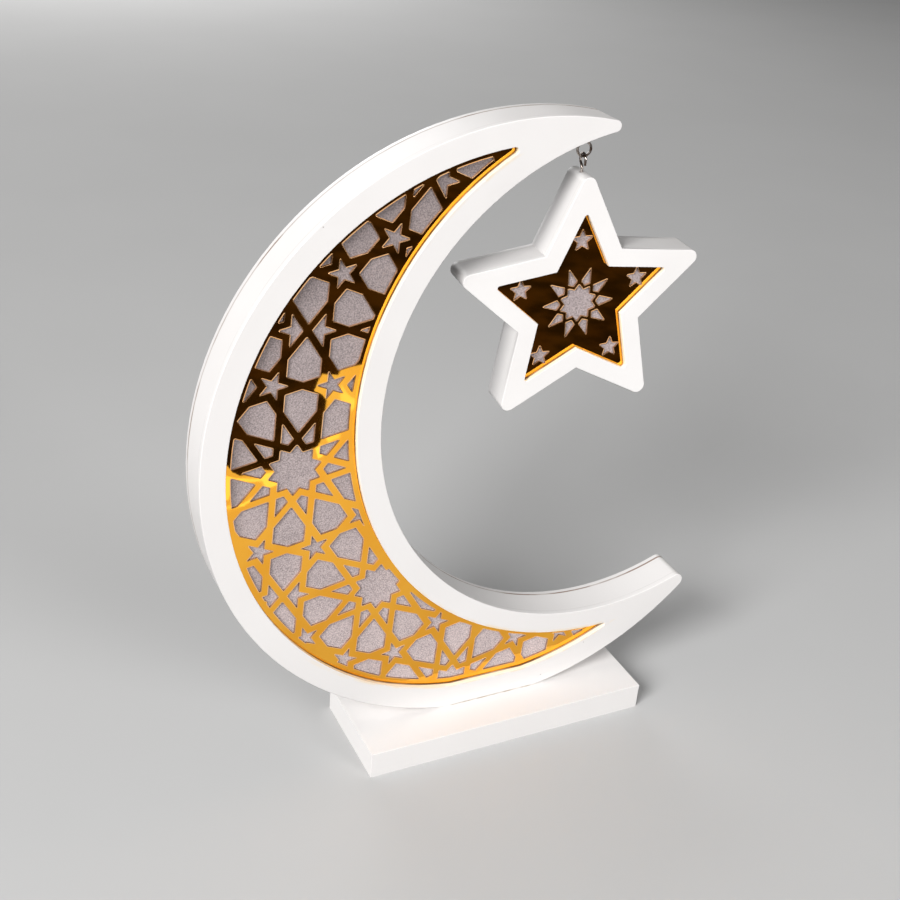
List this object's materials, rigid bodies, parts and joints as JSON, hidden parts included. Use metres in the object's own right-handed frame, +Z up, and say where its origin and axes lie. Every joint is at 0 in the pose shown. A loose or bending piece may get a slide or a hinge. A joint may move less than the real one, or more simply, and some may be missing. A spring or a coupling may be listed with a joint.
{
  "type": "eid crescent ornament",
  "caption": "White crescent moon standing on a block, its window filled by a pierced gold geometric lattice; a matching star hangs by a hook from the upper horn.",
  "frame": {"origin": "middle of the base block's underside", "axes": "+X along the block, towards the open side of the crescent; the front looks to -Y; +Z up"},
  "size_m": [0.2769, 0.059, 0.3324],
  "materials": {
    "white_paint": "satin white paint on fibreboard",
    "base_paint": "satin white paint on fibreboard",
    "gold_mirror": "gold mirror sheet",
    "grey_backing": "fine speckled grey craft foam",
    "steel": "bright zinc-plated steel"
  },
  "bodies": {
    "moon_stand": {"base_block": "base_paint", "base_screws": "steel", "moon_front_panel": "white_paint", "moon_lattice": "gold_mirror", "moon_backing": "grey_backing", "moon_core": "white_paint", "moon_back_panel": "white_paint"},
    "eye": {"moon_screw_eye": "steel"},
    "star": {"star_front_panel": "white_paint", "star_lattice": "gold_mirror", "star_backing": "grey_backing", "star_core": "white_paint", "star_back_panel": "white_paint", "star_screw_hook": "steel"}
  },
  "joints": [
    {"name": "eye_turn", "type": "hinge", "parent": "moon_stand", "child": "eye", "pos_m": [0.0201, 0.001, 0.3215], "axis": [0, 0, 1], "range_deg": [-90, 90]},
    {"name": "star_swing", "type": "hinge", "parent": "eye", "child": "star", "pos_m": [0.0201, 0.001, 0.30965], "axis": [0.9938, -0.1115, 0], "range_deg": [-30, 30]}
  ]
}
